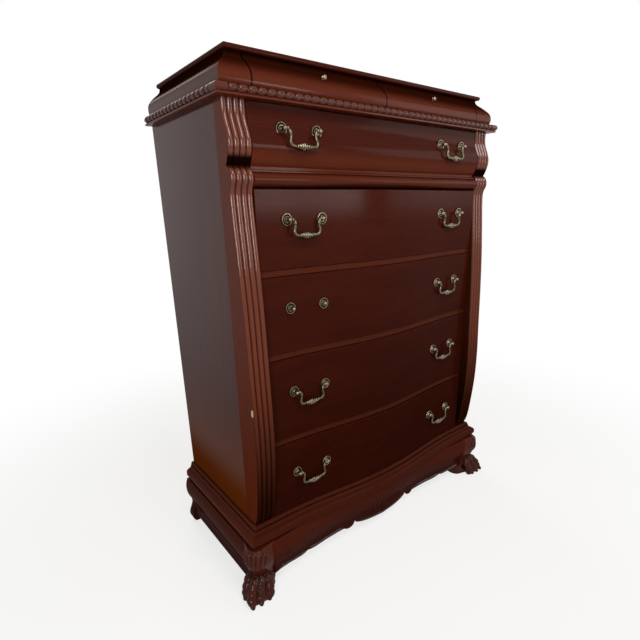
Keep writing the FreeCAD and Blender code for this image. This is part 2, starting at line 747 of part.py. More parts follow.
def frieze_drawers():
    x0 = drawer_gap / 2.0
    x1 = frieze_drawer_half_width - drawer_gap
    front = frieze_length(x0, x1, drawer_gap)
    box_inner = divider_thickness / 2.0 + drawer_gap
    box = drawer_box(box_inner, x1, upper_depth - frieze_wall, frieze_back_thickness + box_back_depth,
                     z_deck_top + seat_clearance, z_top - box_headroom, frieze_box_wall)
    turned = knob((x0 + x1) / 2.0, z_deck_top + knob_rise, front)
    for side, made in (("right", lambda s: s), ("left", mirrored)):
        name = "frieze_drawer_" + side
        save(name + "_front", made(front))
        save(name + "_box", *[made(solid) for solid in box])
        save(name + "_knob", made(turned))


os.makedirs("parts", exist_ok=True)
pilasters()
case_boards()
rails()
waist_moulding()
runners_and_guides()
cornice()
frieze()
top_board()
plinth()
foot = front_foot()
save_pair("foot_front", foot)
front_apron(foot)
side_aprons(foot)
rear_feet()
main_drawers()
frieze_drawers()
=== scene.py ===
import json
import math
from fnmatch import fnmatchcase
import bmesh
import bpy
from mathutils import Matrix, Vector
from mathutils.bvhtree import BVHTree


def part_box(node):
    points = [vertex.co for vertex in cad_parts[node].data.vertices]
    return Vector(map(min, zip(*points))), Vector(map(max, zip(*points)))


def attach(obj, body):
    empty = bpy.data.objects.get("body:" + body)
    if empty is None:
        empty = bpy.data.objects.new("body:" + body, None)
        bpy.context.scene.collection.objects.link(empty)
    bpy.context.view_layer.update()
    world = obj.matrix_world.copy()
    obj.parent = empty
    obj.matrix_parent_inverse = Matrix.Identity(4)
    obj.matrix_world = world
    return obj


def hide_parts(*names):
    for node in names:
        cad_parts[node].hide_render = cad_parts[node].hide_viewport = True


# A tall chest of drawers in red-brown lacquered wood with antique brass pulls.
# Metres. X runs to the right, Y to the back, Z up; the floor is Z = 0.

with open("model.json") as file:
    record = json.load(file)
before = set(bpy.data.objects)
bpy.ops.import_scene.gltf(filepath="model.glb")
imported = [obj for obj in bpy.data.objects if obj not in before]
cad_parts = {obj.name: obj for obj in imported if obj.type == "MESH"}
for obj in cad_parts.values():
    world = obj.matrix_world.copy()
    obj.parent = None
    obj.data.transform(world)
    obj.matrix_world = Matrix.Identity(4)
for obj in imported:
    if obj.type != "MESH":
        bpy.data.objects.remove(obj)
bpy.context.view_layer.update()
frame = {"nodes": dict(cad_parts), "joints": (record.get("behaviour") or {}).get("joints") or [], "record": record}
cad = frame["nodes"]
scene = bpy.context.scene
mm = 0.001

# Finishes, as linear colours
cherry_dark = (0.036, 0.0048, 0.0018, 1.0)
cherry_light = (0.056, 0.0084, 0.0034, 1.0)
cherry_ridge = (0.2, 0.04, 0.013, 1.0)
# Lighter tone along sharp edges: wear and a painted edge highlight
cherry_wear_and_highlight = (0.2, 0.06, 0.026, 1.0)
# Painted reflection of a warm floor on the low part of the sides
cherry_floor_reflection = (0.095, 0.02, 0.0025, 1.0)
bare_wood = (0.55, 0.42, 0.32, 1.0)
# Painted shade: the dark colour laid in grooves, hollows, joints, between gadroon lobes and under a bulge
painted_shade_colour = (0.008, 0.0018, 0.001, 1.0)
# Black, towards which the painted shade darkens the colour
black = (0.0, 0.0, 0.0, 1.0)
box_wood_dark = (0.36, 0.235, 0.125, 1.0)
box_wood_light = (0.5, 0.355, 0.21, 1.0)
brass_bright = (0.25, 0.205, 0.13, 1.0)
brass_brown = (0.04, 0.032, 0.021, 1.0)
brass_hollow = (0.012, 0.01, 0.007, 1.0)

# Heights between which the coat goes from its lower weight to its upper one
coat_rise = (0.25, 1.2)
# Heights between which a finish comes in: none of it at the first, all of it at the second
# Painted reflection on the sides comes in between these heights, strongest lower down
side_floor_reflection = (0.62, 0.27)
side_coat_start = (0.26, 0.4)
# Painted light on the top drawer's belly comes in between these heights
belly_painted_light = (1.212, 1.178)
# Painted shade under the top's overhang comes in between these heights
frieze_shade = (1.335, 1.375)
frieze_coat_end = (1.362, 1.33)

# Heights with painted shade in a groove or a painted shadow under a bulge, and how far it reaches from them
moulding_grooves = ((0.1735, 0.0018), (0.2115, 0.0018), (1.114, 0.0055), (1.1475, 0.0018))
bulge_shadow = (1.168, 0.02)

# Painted shade along the fine joints in the frieze, from its faint edge to its dark middle
frieze_joint = -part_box("frieze_drawer_left_front")[0].x
joint_shade_line = (0.0034, 0.001)
middle_shade_line = (0.0034, 0.0015)

# Radius by which the finish rounds sharp edges
edge_radius = 0.0022

# The pilasters' reeds, by the distance from the chest's middle
reed_start = 0.428
reed_pitch = 0.015
reeds_end = reed_start + 3.96 * reed_pitch

# The bottom board's front edge, which is stained: in front of this Y and below this Z
stained_front = (-0.17, -0.172)
stained_below = (0.2245, 0.2235)

# Chips in the lacquer: middle and radii
drawer_chips = (((-0.294, -0.2036, 0.831), (0.0022, 0.01, 0.0016)),
                ((-0.2995, -0.2036, 0.775), (0.002, 0.01, 0.0024)))
pilaster_chips = (((-0.4875, -0.2155, 0.576), (0.003, 0.005, 0.014)),)


# Shader tools

def add(tree, kind, **settings):
    node = tree.nodes.new(kind)
    for name, value in settings.items():
        setattr(node, name, value)
    return node


def join(tree, source, target):
    tree.links.new(source, target)


def give(tree, value, socket):
    """A plain value for a socket, or a link to it."""
    if isinstance(value, (int, float, str, tuple)):
        socket.default_value = value
    else:
        join(tree, value, socket)


def feed(tree, node, inputs):
    """Values or links for a node's inputs, by their names or places."""
    for label, value in inputs.items():
        give(tree, value, node.inputs[label])


def fed(tree, kind, inputs, **settings):
    node = add(tree, kind, **settings)
    feed(tree, node, inputs)
    return node


def new_group(name, inputs, outputs):
    """Shader group with named sockets; returns the tree and its two end nodes."""
    tree = bpy.data.node_groups.new(name, "ShaderNodeTree")
    for label, kind, value in inputs:
        socket = tree.interface.new_socket(label, in_out="INPUT", socket_type="NodeSocket" + kind)
        socket.default_value = value
    for label, kind in outputs:
        tree.interface.new_socket(label, in_out="OUTPUT", socket_type="NodeSocket" + kind)
    return tree, add(tree, "NodeGroupInput"), add(tree, "NodeGroupOutput")


def math_node(tree, operation, *values):
    node = add(tree, "ShaderNodeMath", operation=operation)
    for socket, value in zip(node.inputs, values):
        give(tree, value, socket)
    return node.outputs[0]


def times(tree, first, second):
    return math_node(tree, "MULTIPLY", first, second)


def minus(tree, first, second):
    return math_node(tree, "SUBTRACT", first, second)


def absolute(tree, value):
    return math_node(tree, "ABSOLUTE", value)


def ranged(tree, value, low, high, to_low=0.0, to_high=1.0):
    inputs = {"Value": value, "From Min": low, "From Max": high, "To Min": to_low, "To Max": to_high}
    return fed(tree, "ShaderNodeMapRange", inputs, interpolation_type="SMOOTHSTEP").outputs["Result"]


def blended(tree, share, first, second, mode="MIX"):
    node = add(tree, "ShaderNodeMix", data_type="RGBA", blend_type=mode)
    for label, value in (("Factor", share), ("A", first), ("B", second)):
        give(tree, value, [s for s in node.inputs if s.name == label and s.enabled][0])
    return [s for s in node.outputs if s.enabled][0]


def noise(tree, vector, scale, detail=3.0, roughness=0.5):
    inputs = {"Vector": vector, "Scale": scale, "Detail": detail, "Roughness": roughness}
    return fed(tree, "ShaderNodeTexNoise", inputs).outputs["Fac"]


def stretched(tree, vector, scale):
    return fed(tree, "ShaderNodeMapping", {"Vector": vector, "Scale": scale}).outputs["Vector"]


def object_place(tree):
    return add(tree, "ShaderNodeTexCoord").outputs["Object"]


def object_vector(tree, turn=(0.0, 0.0, 0.0)):
    return fed(tree, "ShaderNodeMapping", {"Vector": object_place(tree), "Rotation": turn}).outputs["Vector"]


def object_axis(tree, axis):
    return fed(tree, "ShaderNodeSeparateXYZ", {"Vector": object_place(tree)}).outputs[axis]


def stored(tree, name):
    """Value that a mesh keeps with its points."""
    return add(tree, "ShaderNodeAttribute", attribute_name=name).outputs["Fac"]


def pointiness(tree):
    return add(tree, "ShaderNodeNewGeometry").outputs["Pointiness"]


def add_bump(tree, shader, height, strength, depth, **more):
    inputs = {"Height": height, "Strength": strength, "Distance": depth, **more}
    join(tree, fed(tree, "ShaderNodeBump", inputs).outputs["Normal"], shader.inputs["Normal"])


def new_material(name):
    material = bpy.data.materials.new(name)
    material.use_nodes = True
    tree = material.node_tree
    return material, tree, tree.nodes["Principled BSDF"]


def place_group(tree, group, **values):
    return fed(tree, "ShaderNodeGroup", values, node_tree=group).outputs


def wood_grain_group():
    """Grain along the vector's X: broad figure, fine streaks and short open pores."""
    tree, given, put = new_group(
        "wood_grain",
        [("Vector", "Vector", (0, 0, 0)), ("Dark", "Color", cherry_dark), ("Light", "Color", cherry_light),
         ("Pores", "Float", 0.3)],
        [("Color", "Color"), ("Height", "Float"), ("Cloud", "Float")])
    vector = given.outputs["Vector"]
    cloud = noise(tree, vector, 2.2, 3.0)
    figure = noise(tree, stretched(tree, vector, (1.0, 10.0, 10.0)), 3.0, 5.0, 0.6)
    streaks = noise(tree, stretched(tree, vector, (1.0, 40.0, 40.0)), 7.0, 4.0, 0.6)
    pores = noise(tree, stretched(tree, vector, (1.0, 22.0, 22.0)), 60.0, 2.0)
    share = math_node(tree, "ADD", times(tree, figure, 0.55), times(tree, streaks, 0.45))
    share = ranged(tree, share, 0.3, 0.7)
    share = math_node(tree, "ADD", times(tree, share, 0.75), times(tree, cloud, 0.25))
    colour = blended(tree, share, given.outputs["Dark"], given.outputs["Light"])
    pore = times(tree, ranged(tree, pores, 0.6, 0.68), given.outputs["Pores"])
    dimmed = blended(tree, pore, colour, given.outputs["Dark"], "MULTIPLY")
    feed(tree, put, {"Color": dimmed, "Height": times(tree, pore, -1.0), "Cloud": cloud})
    return tree


def wear_and_highlight_edge_group():
    """Mask along sharp outer edges, broken up, for wear and a painted edge highlight, and a normal that rounds
    those edges.
    """
    tree, given, put = new_group(
        "wear_and_highlight_edge", [("Vector", "Vector", (0, 0, 0))], [("Mask", "Float"), ("Normal", "Vector")])
    rounded = fed(tree, "ShaderNodeBevel", {"Radius": edge_radius}, samples=6).outputs["Normal"]
    flat = add(tree, "ShaderNodeNewGeometry").outputs["Normal"]
    facing = fed(tree, "ShaderNodeVectorMath", {0: rounded, 1: flat}, operation="DOT_PRODUCT")
    edge = ranged(tree, facing.outputs["Value"], 0.985, 0.86)
    patches = ranged(tree, noise(tree, given.outputs["Vector"], 42.0, 4.0, 0.65), 0.4, 0.68)
    feed(tree, put, {"Mask": times(tree, edge, patches), "Normal": rounded})
    return tree


wood_grain = wood_grain_group()
wear_and_highlight_edge = wear_and_highlight_edge_group()
grain_turns = {"x": (0.0, 0.0, 0.0), "y": (0.0, 0.0, math.pi / 2.0), "z": (0.0, math.pi / 2.0, 0.0)}


# Materials

def near_height(tree, level, reach):
    """1 at a height, fading to 0 at this distance from it."""
    away = absolute(tree, minus(tree, object_axis(tree, "Z"), level))
    return ranged(tree, away, reach, 0.35 * reach)


def reed_masks(tree):
    """Share of groove between the pilasters' reeds, and 1 on the reeds but 0 on the pilaster's flank."""
    across = absolute(tree, object_axis(tree, "X"))
    count = math_node(tree, "DIVIDE", minus(tree, across, reed_start), reed_pitch)
    off_crest = absolute(tree, minus(tree, math_node(tree, "FRACT", count), 0.5))
    on_reeds = math_node(tree, "LESS_THAN", across, reeds_end)
    groove = times(tree, ranged(tree, off_crest, 0.26, 0.49, 0.0, 0.75), on_reeds)
    return groove, on_reeds


def reed_finish(tree, colour, coat, painted_falloff, ridge):
    """Light reeds with painted shade in the grooves and a painted shadow under the bulge of the upper length; the
    flank is plainer.
    """
    groove, on_reeds = reed_masks(tree)
    colour = blended(tree, ranged(tree, on_reeds, 0.0, 1.0, 0.3, ridge), colour, cherry_ridge)
    # Painted shade in the grooves between the reeds
    colour = blended(tree, groove, colour, painted_shade_colour)
    # Painted shadow under the bulge of the upper length, with no coat there
    under_bulge = times(tree, near_height(tree, *bulge_shadow), on_reeds)
    colour = blended(tree, under_bulge, colour, painted_shade_colour)
    coat = times(tree, coat, ranged(tree, on_reeds, 0.0, 1.0, 0.4, 1.0))
    coat = times(tree, coat, minus(tree, 1.0, under_bulge))
    # The painted falloff lower down darkens the reeds but not the flank
    faded = times(tree, on_reeds, minus(tree, 1.0, painted_falloff))
    return colour, coat, minus(tree, 1.0, faded)


def frieze_finish(tree, colour, coat, painted_falloff, height):
    """Painted shade and less gloss just under the top, with painted shade along the joints beside the frieze
    drawers and between them.
    """
    # Painted shade under the top's overhang
    painted_falloff = times(tree, painted_falloff, ranged(tree, height, *frieze_shade, 1.0, 0.22))
    coat = times(tree, coat, ranged(tree, height, *frieze_coat_end))
    # Painted shade along the joints beside the frieze drawers and between them
    across = absolute(tree, object_axis(tree, "X"))
    off_joint = absolute(tree, minus(tree, across, frieze_joint))
    colour = blended(tree, ranged(tree, off_joint, *joint_shade_line), colour, painted_shade_colour)
    colour = blended(tree, ranged(tree, across, *middle_shade_line), colour, painted_shade_colour)
    return colour, coat, painted_falloff


def carved_finish(tree, colour, hollow):
    """Painted shade in the hollows of carving, from its pointiness and the stored cavity share, and a lighter tone
    on its crests.
    """
    bent = pointiness(tree)
    # Painted shade in the hollows, from the stored share of nearby carving
    cavity = ranged(tree, stored(tree, "cavity"), 0.1, 0.5)
    deep = math_node(tree, "MAXIMUM", ranged(tree, bent, 0.507, 0.465), cavity)
    crest = times(tree, ranged(tree, bent, 0.52, 0.6), 0.45)
    colour = blended(tree, crest, colour, cherry_ridge)
    return blended(tree, times(tree, deep, hollow), colour, painted_shade_colour)


def chip_mask(tree, centre, radii):
    """1 inside a small ragged chip in the lacquer."""
    place = object_vector(tree)
    away = fed(tree, "ShaderNodeVectorMath", {0: place, 1: centre}, operation="SUBTRACT")
    scaled = fed(tree, "ShaderNodeVectorMath", {0: away.outputs[0], 1: radii}, operation="DIVIDE")
    reach = fed(tree, "ShaderNodeVectorMath", {0: scaled.outputs[0]}, operation="LENGTH")
    ragged = math_node(tree, "ADD", reach.outputs["Value"], noise(tree, place, 260.0))
    return ranged(tree, ragged, 1.35, 1.2)


def lacquered_cherry(name, along, polish, shade, ridge=0.0, hollow=0.0, grooves=(), chips=(),
                     span=(0.2, 1.25), kind=""):
    """Red-brown lacquer over grain. Polish is the coat's weight low down and high up, shade how much of the colour
    the painted shade leaves at the two heights of span, ridge the share of the lighter tone of mouldings, hollow
    that of painted shade in carving, grooves are heights with painted shade in them, and kind is what else the
    surface has."""
    material, tree, shader = new_material("lacquered_cherry_" + name)
    vector = object_vector(tree, grain_turns[along])
    grain = place_group(tree, wood_grain, Vector=vector, Pores=0.35)
    edge = place_group(tree, wear_and_highlight_edge, Vector=vector)
    height = object_axis(tree, "Z")
    colour = grain["Color"]
    coat = ranged(tree, height, *coat_rise, *polish)
    # Painted shade: the colour goes darker lower down, by the shade levels over span
    painted_falloff = ranged(tree, height, *span, *shade)
    if kind == "reeds":
        colour, coat, painted_falloff = reed_finish(tree, colour, coat, painted_falloff, ridge)
    elif ridge:
        colour = blended(tree, ridge, colour, cherry_ridge)
    if kind == "lobes":
        # Painted shade at the ends of each gadroon lobe, where the lobes meet
        colour = blended(tree, ranged(tree, stored(tree, "gap"), 0.55, 0.95), colour, painted_shade_colour)
    if kind == "belly":
        # Painted light: a lighter tone on the lower part of the top drawer's belly
        colour = blended(tree, ranged(tree, height, *belly_painted_light, 0.0, 0.3), colour, cherry_ridge)
    if kind == "side":
        # Painted reflection: a warm red-orange on the lower part of the sides
        colour = blended(tree, ranged(tree, height, *side_floor_reflection), colour, cherry_floor_reflection)
        coat = times(tree, coat, ranged(tree, height, *side_coat_start))
    # Painted shade along the grooves of the mouldings and under the top drawer, with less coat there
    for level, reach in grooves:
        groove = near_height(tree, level, reach)
        colour = blended(tree, groove, colour, painted_shade_colour)
        coat = times(tree, coat, minus(tree, 1.0, groove))
    # Painted shade in the hollows of carving
    if hollow:
        colour = carved_finish(tree, colour, hollow)
    # Wear and painted highlight: a lighter tone along sharp edges
    colour = blended(tree, times(tree, edge["Mask"], 0.4), colour, cherry_wear_and_highlight)
    for centre, radii in chips:
        colour = blended(tree, chip_mask(tree, centre, radii), colour, bare_wood)
    if kind == "frieze":
        colour, coat, painted_falloff = frieze_finish(tree, colour, coat, painted_falloff, height)
    smears = noise(tree, vector, 9.0, 4.0)
    # Painted shade: the colour is scaled towards black by the painted falloff, darker lower down and, in the
    # frieze, under the top
    feed(tree, shader, {"Base Color": blended(tree, painted_falloff, black, colour),
                        "Roughness": ranged(tree, smears, 0.3, 0.7, 0.3, 0.42),
                        "Coat Weight": coat, "Coat Roughness": 0.15, "Specular IOR Level": 0.0})
    add_bump(tree, shader, grain["Height"], 0.08, 0.3 * mm, Normal=edge["Normal"])
    return material


def plain_box_wood():
    """Pale sanded wood of the drawer boxes, runners and back; the bottom board's front edge is stained."""
    material, tree, shader = new_material("drawer_wood")
    vector = object_vector(tree, grain_turns["x"])
    grain = place_group(tree, wood_grain, Vector=vector, Dark=box_wood_dark, Light=box_wood_light,
                        Pores=0.25)
    front_edge = ranged(tree, object_axis(tree, "Y"), *stained_front)
    stained = times(tree, front_edge, ranged(tree, object_axis(tree, "Z"), *stained_below))
    feed(tree, shader, {"Base Color": blended(tree, stained, grain["Color"], cherry_dark),
                        "Roughness": ranged(tree, grain["Cloud"], 0.2, 0.8, 0.55, 0.75)})
    add_bump(tree, shader, grain["Height"], 0.25, 0.5 * mm)
    return material


def antique_brass():
    """Brass with a brown patina, rubbed bright on what stands out and dark in its hollows."""
    material, tree, shader = new_material("antique_brass")
    vector = object_vector(tree)
    bent = pointiness(tree)
    patches = noise(tree, vector, 140.0, 4.0, 0.6)
    rubbed = math_node(tree, "ADD", ranged(tree, bent, 0.5, 0.58), times(tree, patches, 0.5))
    colour = blended(tree, ranged(tree, rubbed, 0.24, 0.95), brass_brown, brass_bright)
    colour = blended(tree, ranged(tree, bent, 0.49, 0.43), colour, brass_hollow)
    feed(tree, shader, {"Base Color": colour, "Metallic": 1.0,
                        "Roughness": ranged(tree, patches, 0.3, 0.7, 0.4, 0.24)})
    add_bump(tree, shader, noise(tree, vector, 600.0, 2.0), 0.3, 0.3 * mm)
    return material


drawer_cherry = lacquered_cherry("drawers", "x", (0.01, 0.11), (0.5, 0.88), chips=drawer_chips)
belly_cherry = lacquered_cherry("belly", "x", (0.01, 0.11), (0.5, 0.88), kind="belly")
frieze_cherry = lacquered_cherry("frieze", "x", (0.1, 0.2), (1.0, 1.0), 0.2, kind="frieze")
cheek_cherry = lacquered_cherry("cheeks", "y", (0.12, 0.5), (0.8, 1.0), 0.1, kind="frieze")
side_cherry = lacquered_cherry("sides", "z", (0.16, 0.52), (1.0, 1.0), kind="side")
deep_cherry = lacquered_cherry("deep", "y", (0.08, 0.42), (0.9, 1.0), 0.18, grooves=moulding_grooves)
moulded_cherry = lacquered_cherry("mouldings", "x", (0.05, 0.14), (0.58, 0.86), 0.2,
                                  grooves=moulding_grooves)
gadroon_cherry = lacquered_cherry("gadroons", "x", (0.1, 0.42), (0.8, 0.86), 0.2, kind="lobes")
reeded_cherry = lacquered_cherry("reeds", "z", (0.0, 0.66), (0.1, 0.66), 0.8, chips=pilaster_chips,
                                 span=(0.25, 0.75), kind="reeds")
apron_cherry = lacquered_cherry("apron", "x", (0.06, 0.06), (0.5, 0.9), 0.08, span=(0.06, 0.15))
lip_cherry = lacquered_cherry("lips", "x", (0.6, 0.6), (0.5, 0.5))
carved_cherry = lacquered_cherry("carved", "z", (0.22, 0.03), (0.75, 1.0), 0.12, 0.95, span=(0.07, 0.1))
box_wood = plain_box_wood()
brass = antique_brass()


# Finishes of the lacquered nodes: the first rule that fits a node's name holds
lacquer_rules = (("pilaster*", reeded_cherry), ("side_*", side_cherry), ("frieze_side*", cheek_cherry),
                 ("apron*", apron_cherry), ("foot*", apron_cherry), ("*_left", deep_cherry),
                 ("*_right", deep_cherry), ("drawer_1_front", belly_cherry), ("frieze_deck", drawer_cherry),
                 ("drawer_rails", moulded_cherry), ("waist_moulding", moulded_cherry),
                 ("plinth_front", moulded_cherry), ("cornice_front", moulded_cherry),
                 ("frieze*", frieze_cherry), ("*", drawer_cherry))


def finish_of(node, slot):
    """Finish that a node's record slot names, with its grain the right way."""
    if slot == "antique_brass":
        return brass
    if slot == "drawer_wood":
        return box_wood
    return next(finish for rule, finish in lacquer_rules if fnmatchcase(node, rule))


def dress_cad_nodes():
    for part in frame["record"]["subparts"]:
        mesh = cad[part["node"]].data
        mesh.materials.clear()
        mesh.materials.append(finish_of(part["node"], part["material_slot"]))


# Mesh tools

def new_piece(name, points, faces, finish, body, slot, sharp=35.0):
    """Closed mesh with outward normals that rides a body."""
    mesh = bpy.data.meshes.new(name)
    mesh.from_pydata([tuple(point) for point in points], [], faces)
    return finish_piece(name, mesh, finish, body, sharp)


def finish_piece(name, mesh, finish, body, sharp=35.0):
    shell = bmesh.new()
    shell.from_mesh(mesh)
    bmesh.ops.remove_doubles(shell, verts=shell.verts, dist=1e-6)
    bmesh.ops.recalc_face_normals(shell, faces=shell.faces)
    shell.to_mesh(mesh)
    shell.free()
    mesh.materials.clear()
    mesh.materials.append(finish)
    mesh.shade_smooth()
    mesh.set_sharp_from_angle(angle=math.radians(sharp))
    piece = bpy.data.objects.new(name, mesh)
    scene.collection.objects.link(piece)
    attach(piece, body)
    return piece


def joined(shapes):
    """One list of points and faces from several."""
    points = []
    faces = []
    for more_points, more_faces in shapes:
        start = len(points)
        points += more_points
        faces += [tuple(i + start for i in face) for face in more_faces]
    return points, faces


def smooth_run(controls, spans):
    """Even curve through control tuples, with a few spans between each pair."""
    made = []
    last = len(controls) - 1
    for i in range(last):
        around = [controls[max(0, min(last, k))] for k in (i - 1, i, i + 1, i + 2)]
        for step in range(spans):
            t = step / spans
            made.append(tuple(
                0.5 * (2.0 * b + (c - a) * t + (2.0 * a - 5.0 * b + 4.0 * c - d) * t * t
                       + (3.0 * b - a - 3.0 * c + d) * t * t * t)
                for a, b, c, d in zip(*around)))
    made.append(tuple(controls[-1]))
    return made


def ring_faces(rings, sides):
    """Faces of a tube of rings with this many points each, closed at both ends."""
    faces = [tuple(range(sides)), tuple(range((rings - 1) * sides, rings * sides))]
    for ring in range(rings - 1):
        low = ring * sides
        high = low + sides
        for k in range(sides):
            after = (k + 1) % sides
            faces.append((low + k, low + after, high + after, high + k))
    return faces


def turned(profile, centre, sides=28):
    """Turning about an axis that points to the front; profile points are (radius, forward) in mm."""
    points = []
    for radius, forward in profile:
        for k in range(sides):
            angle = 2.0 * math.pi * k / sides
            offset = Vector((radius * math.cos(angle), -forward, radius * math.sin(angle)))
            points.append(centre + offset * mm)
    return points, ring_faces(len(profile), sides)


def swept(path, radii, sides=10):
    """Tube of changing radius along a path."""
    points = []
    upright = Vector((0.0, 0.0, 1.0))
    for i, here in enumerate(path):
        ahead = path[min(i + 1, len(path) - 1)] - path[max(i - 1, 0)]
        ahead.normalize()
        across = ahead.cross(upright)
        if across.length < 0.05:
            across = ahead.cross(Vector((0.0, -1.0, 0.0)))
        across.normalize()
        upright = across.cross(ahead).normalized()
        for k in range(sides):
            angle = 2.0 * math.pi * k / sides
            offset = across * math.cos(angle) + upright * math.sin(angle)
            points.append(here + offset * radii[i])
    return points, ring_faces(len(path), sides)


def cad_shell(node):
    """Merged copy of a CAD node's mesh."""
    shell = bmesh.new()
    shell.from_mesh(cad[node].data)
    bmesh.ops.remove_doubles(shell, verts=shell.verts, dist=2e-5)
    return shell


def from_front(tree, x, z):
    """Where a ray from the front meets a surface, or None."""
    return tree.ray_cast(Vector((x, -1.0, z)), Vector((0.0, 1.0, 0.0)))[0]


def cad_tree(node):
    """Surface of a CAD node to cast rays at."""
    shell = cad_shell(node)
    tree = BVHTree.FromBMesh(shell)
    shell.free()
    return tree


def new_holder(name, points, edges, faces):
    """Object whose modifiers make a mesh."""
    base = bpy.data.meshes.new(name)
    base.from_pydata([tuple(point) for point in points], edges, faces)
    holder = bpy.data.objects.new(name, base)
    scene.collection.objects.link(holder)
    return holder


def mesh_made_by(holder):
    """Plain mesh that a holder's modifiers make; the holder goes."""
    bpy.context.view_layer.update()
    seen = holder.evaluated_get(bpy.context.evaluated_depsgraph_get())
    mesh = bpy.data.meshes.new_from_object(seen)
    holder.modifiers.clear()
    bpy.data.objects.remove(holder)
    return mesh


# Pulls

pull_centre = 291.5 * mm
pull_half_spacing = 51.25 * mm
upper_bail_lean = math.radians(-8.0)
# Profiles of turned pieces: (radius, forward), in mm
rosette_rings = [(15.0, -2.6), (15.0, 1.4), (14.8, 2.9), (14.1, 3.9), (13.1, 4.0), (12.4, 3.2), (12.0, 1.6),
                 (11.2, 0.7), (9.6, 0.7), (9.0, 1.8), (8.6, 3.4), (7.9, 4.3), (7.0, 4.2), (6.4, 3.4),
                 (6.0, 2.6), (6.0, 3.6), (5.9, 4.8), (5.2, 6.2), (4.2, 7.3), (3.4, 8.0)]
ball_end = [(3.6, -5.0), (3.9, -3.6), (5.0, -2.2), (5.5, 0.0), (5.1, 2.4), (4.0, 4.3), (2.4, 5.6),
            (0.6, 6.2)]
bolt_head = [(2.5, 1.0), (7.0, 0.0), (7.0, -1.2), (6.2, -2.4), (3.8, -3.2), (0.5, -3.4)]
knob = [(2.4, -22.0), (2.4, -10.0), (4.6, -9.6), (4.8, -8.8), (3.8, -8.2), (2.5, -7.6), (2.4, -6.2),
        (3.8, -5.2), (5.0, -3.8), (5.2, -2.6), (4.6, -1.4), (3.0, -0.4), (0.4, 0.0)]
# Half of a bail from its pin to its middle: (across, down, radius), in mm
bail_half = [(48.5, 0.0, 2.1), (46.2, 0.0, 2.1), (45.6, 0.0, 4.0), (44.0, 0.0, 4.8), (42.4, 0.2, 4.2),
             (41.0, 0.8, 3.3), (39.4, 2.2, 3.4), (37.8, 5.4, 4.0), (37.0, 9.0, 4.2), (36.6, 12.4, 3.4),
             (36.8, 17.0, 3.3), (38.0, 22.0, 3.5), (39.0, 27.0, 3.7), (38.2, 31.5, 3.9), (35.4, 35.2, 4.0),
             (31.0, 37.2, 3.9), (26.5, 38.0, 3.6), (23.0, 38.2, 3.6), (20.6, 38.2, 5.2), (18.4, 38.2, 4.6),
             (13.0, 38.4, 6.2), (6.0, 38.7, 7.2), (0.0, 38.8, 7.4)]
# The leaf at a bail's middle: lengths in mm, swells as shares of the bail's radius
leaf_half_length = 20.0
leaflet_pitch = 6.4
leaflet_swell = 0.24
midrib_swell = 0.14
midrib_width = 0.22


def pull_rosettes(number, axis_y, axis_z):
    """Four ringed rosettes with ball-ended posts, and the bolt heads inside the drawer."""
    shapes = []
    face = cad_tree("drawer_%d_front" % number)
    inner_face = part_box("drawer_%d_front" % number)[1].y
    for centre_x in (-pull_centre, pull_centre):
        for way in (-1, 1):
            x = centre_x + way * pull_half_spacing
            place = from_front(face, x, axis_z)
            reach = (place.y - axis_y) / mm
            profile = rosette_rings + [(radius, reach + forward) for radius, forward in ball_end]
            shapes.append(turned(profile, place))
            shapes.append(turned(bolt_head, Vector((x, inner_face, axis_z)), 12))
    name = "drawer_%d_rosettes" % number
    piece = new_piece(name, *joined(shapes), brass, "drawer_%d" % number, "antique_brass")
    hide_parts("drawer_%d_pull_posts" % number)


def leaf_relief(across, angle):
    """Share by which the leaf at the middle of a bail swells: leaflets that slant from a midrib."""
    reach = abs(across) / leaf_half_length
    if reach >= 1.0:
        return 1.0
    leaflets = math.cos(2.0 * math.pi * (abs(across) / leaflet_pitch - 0.9 * abs(math.cos(angle))))
    rib = math.exp(-(math.cos(angle) / midrib_width) ** 2)
    return 1.0 + (1.0 - reach * reach) * (leaflet_swell * leaflets * (1.0 - rib) + midrib_swell * rib)


def swan_neck_bail(name, centre, lean):
    """Bail with a bead at each pin, waisted sides and a leaf carved at its middle."""
    half = smooth_run(bail_half, 5)
    run = half + [(-across, down, radius) for across, down, radius in reversed(half[:-1])]
    sides = 20
    tilt = Matrix.Rotation(lean, 3, "X")
    points = []
    for i, (across, down, radius) in enumerate(run):
        before = run[max(i - 1, 0)]
        after = run[min(i + 1, len(run) - 1)]
        ahead = Vector((after[0] - before[0], 0.0, before[1] - after[1])).normalized()
        side = Vector((-ahead.z, 0.0, ahead.x))
        for k in range(sides):
            angle = 2.0 * math.pi * k / sides
            size = radius * leaf_relief(across, angle)
            offset = side * (size * math.cos(angle)) + Vector((0.0, -size * math.sin(angle), 0.0))
            points.append(centre + tilt @ ((Vector((across, 0.0, -down)) + offset) * mm))
    faces = ring_faces(len(run), sides)
    piece = new_piece(name + "_swan_neck", points, faces, brass, name, "antique_brass", 60.0)
    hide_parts(name)


def pulls():
    """Every bail at its hinge, and the rosettes of each drawer at the same height."""
    axis_of = {}
    for joint in frame["joints"]:
        if joint["type"] != "hinge":
            continue
        number = int(joint["child"].split("_")[1])
        place = Vector(joint["pos_m"])
        axis_of[number] = place
        swan_neck_bail(joint["child"], place, upper_bail_lean if number == 1 else 0.0)
    for number, place in axis_of.items():
        pull_rosettes(number, place.y, place.z)


def frieze_knobs():
    """Small turned knobs with a collar."""
    for side in ("left", "right"):
        node = "frieze_drawer_%s_knob" % side
        low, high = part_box(node)
        centre = Vector(((low.x + high.x) / 2.0, low.y, (low.z + high.z) / 2.0))
        body = "frieze_drawer_" + side
        piece = new_piece(node + "_turning", *turned(knob, centre), brass, body, "antique_brass")
        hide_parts(node)


# Cornice

